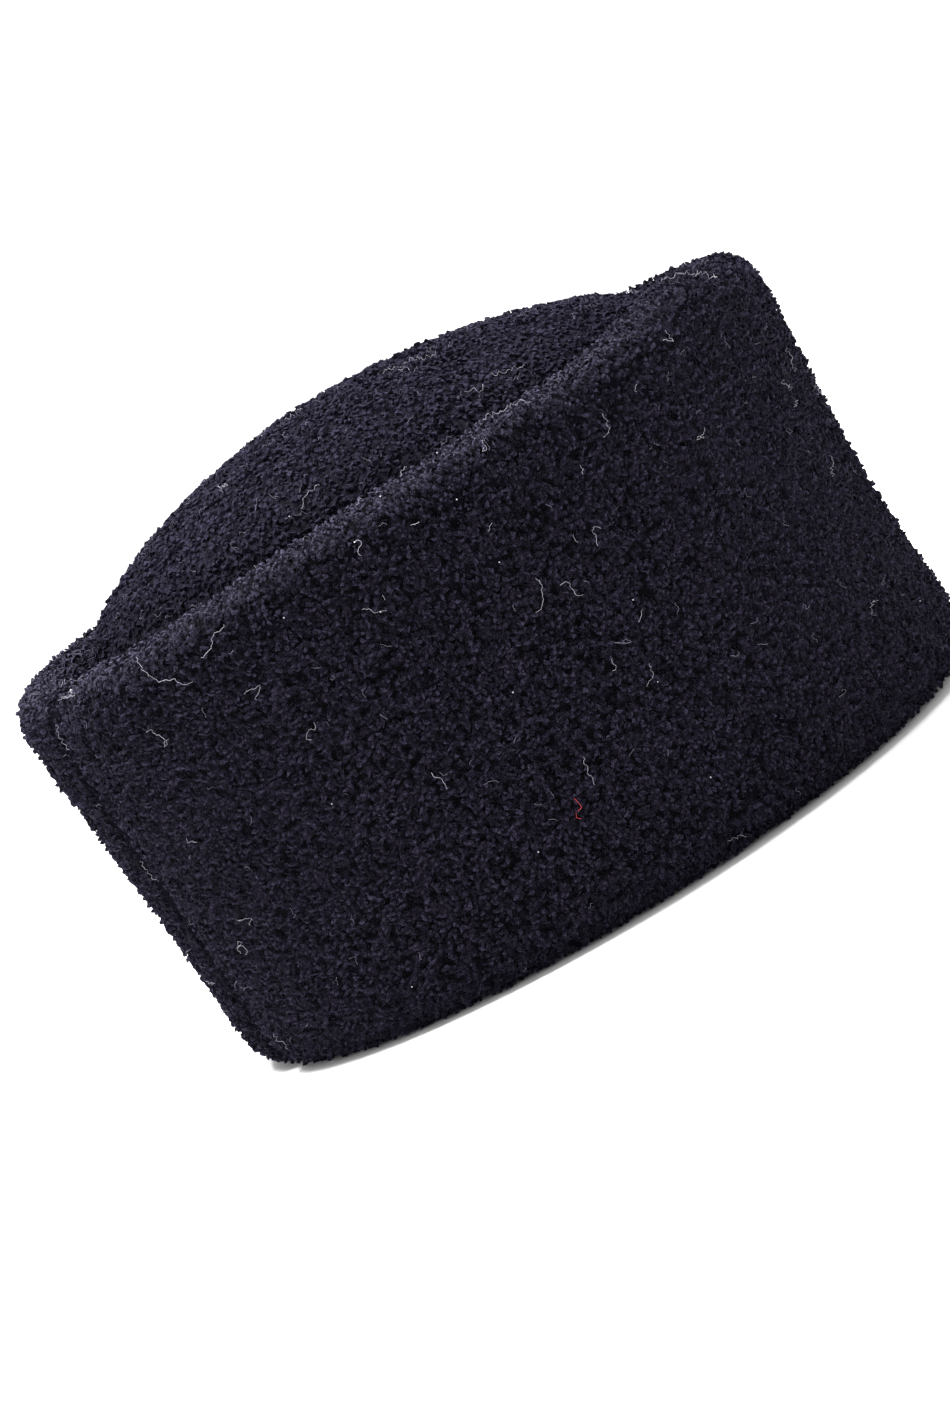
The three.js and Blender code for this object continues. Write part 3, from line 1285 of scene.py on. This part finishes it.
SEEN_FIBRES = (
    Fibre(88, 668, 10, 28, 0.15),
    Fibre(64, 692, 75, 9, 0.4),
    Fibre(66, 706, 5, 10, 0.4),
    Fibre(76, 700, 60, 8, 0.5),
    Fibre(64, 724, -58, 7, 0.05),
    Fibre(142, 660, -47, 20, 0.25),
    Fibre(247, 690, -30, 10, 0.8),
    Fibre(315, 720, -50, 8, 0.5),
    Fibre(205, 655, 15, 12, 0.3),
    Fibre(146, 857, -38, 8, 0.05),
    Fibre(212, 976, 20, 4, 0.05),
    Fibre(251, 949, -30, 12, 0.6),
    Fibre(240, 916, -50, 9, 0.6),
    Fibre(279, 1029, -72, 6, 0.1),
    Fibre(190, 835, -60, 4, 0.2),
    Fibre(440, 360, 205, 20, 0.15),
    Fibre(489, 382, 12, 11, 0.1),
    Fibre(487, 427, 42, 14, 0.15),
    Fibre(305, 513, 80, 9, 0.25),
    Fibre(404, 484, 60, 5, 0.2),
    Fibre(360, 511, 60, 3, 0.1),
    Fibre(289, 427, 20, 8, 0.2),
    Fibre(483, 447, -70, 5, 0.7),
    Fibre(356, 543, 0, 6, 0.6),
    Fibre(485, 531, 50, 3, 0.1),
    Fibre(569, 535, -55, 3, 0.1),
    Fibre(533, 578, -80, 11, 0.25),
    Fibre(593, 547, 35, 8, 0.4),
    Fibre(382, 594, -50, 2, 0.1),
    Fibre(634, 623, 55, 4, 0.1),
    Fibre(612, 643, -22, 5, 0.2),
    Fibre(607, 659, -75, 5, 0.3),
    Fibre(362, 608, 0, 7, 0.4),
    Fibre(577, 466, -80, 3, 0.2),
    Fibre(409, 525, 0, 3, 0.2),
    Fibre(663, 288, 15, 12, 0.3),
    Fibre(696, 280, 30, 8, 0.4),
    Fibre(630, 394, 65, 3, 0.05),
    Fibre(597, 415, -80, 8, 0.5),
    Fibre(779, 352, -40, 7, 0.05),
    Fibre(800, 362, 60, 7, 0.05),
    Fibre(787, 410, 30, 5, 0.1),
    Fibre(697, 430, -40, 8, 0.6),
    Fibre(661, 335, -20, 7, 0.7),
    Fibre(582, 756, -40, 9, 0.4),
    Fibre(432, 770, -50, 7, 0.4),
    Fibre(645, 664, -80, 7, 0.2),
    Fibre(724, 838, 20, 6, 0.4),
)
SEEN_THREAD = Fibre(573, 797, -65, 8, 0.3)
SEEN_SPECKS = (
    Speck(454, 500),
    Speck(496, 562),
    Speck(380, 610),
    Speck(628, 601),
    Speck(441, 462),
    Speck(511, 691),
    Speck(356, 544),
)
print(len(SEEN_FIBRES), "fibres and", len(SEEN_SPECKS), "specks show in the photograph")

# %% [markdown]
# What fibres are made of
#
# Lint and fuzz are undyed and grey wool, and the thread is dyed polyester. None of them is
# glossy, and all are a little uneven along their length. A real wool fibre is 0.03 mm thick,
# which no pixel would show, so it is drawn about twice as thick.

# %% What fibres are made of
FUZZ_THICKNESS = 0.06 * MM
LINT_THICKNESS = 0.07 * MM
THREAD_THICKNESS = 0.2 * MM
SPECK_WIDTH = 0.4 * MM
UNEVEN_WIDTH = 2 * MM  # along a fibre, from a darker place to a paler one


def textile(name, first, second):
    """Textile fibre, undyed or dyed: matt and a little uneven along its length."""
    material, tree = new_material(name)
    place = add(tree, "ShaderNodeTexCoord").outputs["Object"]
    uneven = add(tree, "ShaderNodeTexNoise", {"Vector": place, "Scale": 1 / UNEVEN_WIDTH})
    colour = add(
        tree,
        "ShaderNodeMix",
        {"Factor": uneven.outputs["Fac"], 6: linear(first), 7: linear(second)},
        data_type="RGBA",
    )
    shader = add(
        tree,
        "ShaderNodeBsdfPrincipled",
        {"Base Color": colour.outputs[2], "Roughness": 0.7, "Specular IOR Level": 0.3},
    )
    add(tree, "ShaderNodeOutputMaterial", {"Surface": shader.outputs["BSDF"]})
    return material


wool = textile("Undyed wool fibre, lint", 0x72707E, 0xD8D5E0)
grey = textile("Grey wool fibre, fuzz", 0x4A4856, 0x9A97A8)
red = textile("Polyester sewing thread, red", 0x6E1C22, 0x9A2A30)
print("made", wool.name, "and", grey.name, "and", red.name)

# %% [markdown]
# Laying the fibres
#
# The fibres that show are laid first. Then rays from random directions find places for more.
# Lint keeps off the side that the photograph shows, because its own lint lies there. Fuzz is
# too fine to be told apart, so it is strewn on every side.

# %% Fibres that show and fibres at random
STREWN_FIBRES = 60
STREWN_FUZZ = 450
STREWN_SPECKS = 30
LINT_LENGTHS = (4 * MM, 12 * MM)
FUZZ_LENGTHS = (1.5 * MM, 5 * MM)
STREWN_CURLINESS = 0.5
AWAY = 0.5  # how much a place may face the camera, where 1 is straight at it
ANYWHERE = 1.0
SIDE_SPREAD = 1.0
UP_SPREAD = 0.7  # less than sideways, so that more falls on the wall than on the top
LINT_SEED = 5


def route_of(fibre, chance):
    """The route of a fibre that the photograph shows."""
    place, normal = shown_at(fibre.across, fibre.down)
    angle = math.radians(fibre.angle)
    heading = right * math.cos(angle) + up * math.sin(angle)
    return wandering(place, normal, heading, fibre.length * MM, fibre.curliness, chance)


def strewn_place(chance):
    """A random place on the skin, its normal, and how far it faces the camera."""
    spreads = (SIDE_SPREAD, SIDE_SPREAD, UP_SPREAD)
    towards = Vector([chance.gauss(0, spread) for spread in spreads])
    towards.z = abs(towards.z)
    towards.normalize()
    aim = Vector([chance.uniform(low, high) for low, high in zip(*cad_box)])
    place, normal = surface.ray_cast(aim + towards, -towards)[:2]
    return place, normal, towards.dot(back)


def strewn_routes(chance, count, lengths, most_facing):
    """Routes of fibres at random, without those whose place faces the camera too much."""
    routes = []
    for _ in range(count):
        place, normal, facing = strewn_place(chance)
        if place is None or facing > most_facing:
            continue
        heading = Vector([chance.gauss(0, 1) for _ in range(3)])
        length = chance.uniform(*lengths)
        routes.append(wandering(place, normal, heading, length, STREWN_CURLINESS, chance))
    return routes


chance = random.Random(LINT_SEED)
routes = [route_of(fibre, chance) for fibre in SEEN_FIBRES]
routes += strewn_routes(chance, STREWN_FIBRES, LINT_LENGTHS, AWAY)
lint = fibres("lint", routes, LINT_THICKNESS, wool)
routes = strewn_routes(chance, STREWN_FUZZ, FUZZ_LENGTHS, ANYWHERE)
fuzz = fibres("fuzz", routes, FUZZ_THICKNESS, grey)


# %% Specks and the thread
def specks(name, spots, material):
    """Tiny crumbs that lie on the pile, as one mesh."""
    shape = bmesh.new()
    for place, normal in spots:
        moved = Matrix.Translation(place + normal * LINT_HIGH)
        bmesh.ops.create_icosphere(shape, subdivisions=1, radius=SPECK_WIDTH / 2, matrix=moved)
    mesh = mesh_of(shape, name)
    mesh.materials.append(material)
    made = placed(name, mesh)
    print(name, "has", len(mesh.polygons), "faces")
    return made


spots = [shown_at(*speck) for speck in SEEN_SPECKS]
spots += [strewn_place(chance)[:2] for _ in range(STREWN_SPECKS)]
crumbs = specks("specks", [spot for spot in spots if spot[0]], wool)
thread = fibres("red_thread", [route_of(SEEN_THREAD, chance)], THREAD_THICKNESS, red)
for piece in (lint, fuzz, crumbs, thread):
    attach(piece, "root")
